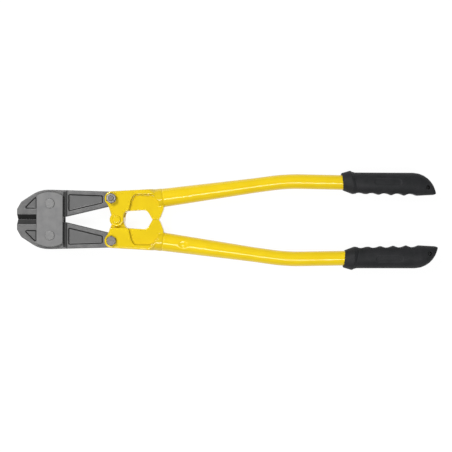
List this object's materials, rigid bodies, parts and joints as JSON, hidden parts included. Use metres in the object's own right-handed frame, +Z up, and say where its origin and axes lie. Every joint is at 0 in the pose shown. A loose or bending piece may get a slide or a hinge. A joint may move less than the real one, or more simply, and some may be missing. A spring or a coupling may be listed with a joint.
{
  "type": "bolt cutters",
  "caption": "Long-handled bolt cutters: forged jaws rock between side plates and two hinged tubular handles drive their tails, with black finger grips.",
  "frame": {"origin": "middle of the overall length on the centreline, on the surface the tool lies on", "axes": "+X from the jaws to the grips along the closed tool, +Y across it towards the handle called upper, +Z up through its thickness"},
  "size_m": [0.6096, 0.1443, 0.0462],
  "materials": {
    "jaw_steel": "forged and shot-blasted grey steel",
    "plate_steel": "satin grey steel plate",
    "rivet_steel": "satin steel rivet",
    "zinc_steel": "zinc plated steel",
    "yellow_paint": "glossy yellow enamel over forged or tubular steel",
    "grip_rubber": "fine textured black moulded grip"
  },
  "bodies": {
    "lower_handle": {"lower_handle_head": "yellow_paint", "lower_handle_tube": "yellow_paint", "lower_grip": "grip_rubber", "lower_link_bolt": "zinc_steel", "lower_link_nut": "zinc_steel", "lower_lock_washer": "zinc_steel"},
    "upper_handle": {"upper_handle_head": "yellow_paint", "upper_handle_tube": "yellow_paint", "upper_grip": "grip_rubber", "upper_link_bolt": "zinc_steel", "upper_link_nut": "zinc_steel", "upper_lock_washer": "zinc_steel", "centre_rivet": "yellow_paint", "centre_washer": "zinc_steel"},
    "lower_jaw": {"lower_jaw": "jaw_steel"},
    "upper_jaw": {"upper_jaw": "jaw_steel"},
    "side_plates": {"front_side_plate": "plate_steel", "rear_side_plate": "plate_steel", "upper_jaw_rivet": "rivet_steel", "lower_jaw_rivet": "rivet_steel"}
  },
  "joints": [
    {"name": "handle_hinge", "type": "hinge", "parent": "lower_handle", "child": "upper_handle", "pos_m": [-0.1599, 0, 0.0231], "axis": [0, 0, 1], "range_deg": [0, 100]},
    {"name": "lower_jaw_hinge", "type": "hinge", "parent": "lower_handle", "child": "lower_jaw", "pos_m": [-0.167, -0.0305, 0.0231], "axis": [0, 0, 1], "range_deg": [0, 60.96]},
    {"name": "upper_jaw_hinge", "type": "hinge", "parent": "upper_handle", "child": "upper_jaw", "pos_m": [-0.167, 0.0305, 0.0231], "axis": [0, 0, 1], "range_deg": [-60.96, 0]},
    {"name": "plate_hinge", "type": "hinge", "parent": "lower_jaw", "child": "side_plates", "pos_m": [-0.2563, -0.0231, 0.0231], "axis": [0, 0, 1], "range_deg": [-10.96, 0]}
  ],
  "couplings": [
    {"joint": "lower_jaw_hinge", "follows": "handle_hinge", "ratio": 0.60459},
    {"joint": "upper_jaw_hinge", "follows": "handle_hinge", "ratio": -0.60459},
    {"joint": "plate_hinge", "follows": "handle_hinge", "ratio": -0.10459}
  ]
}
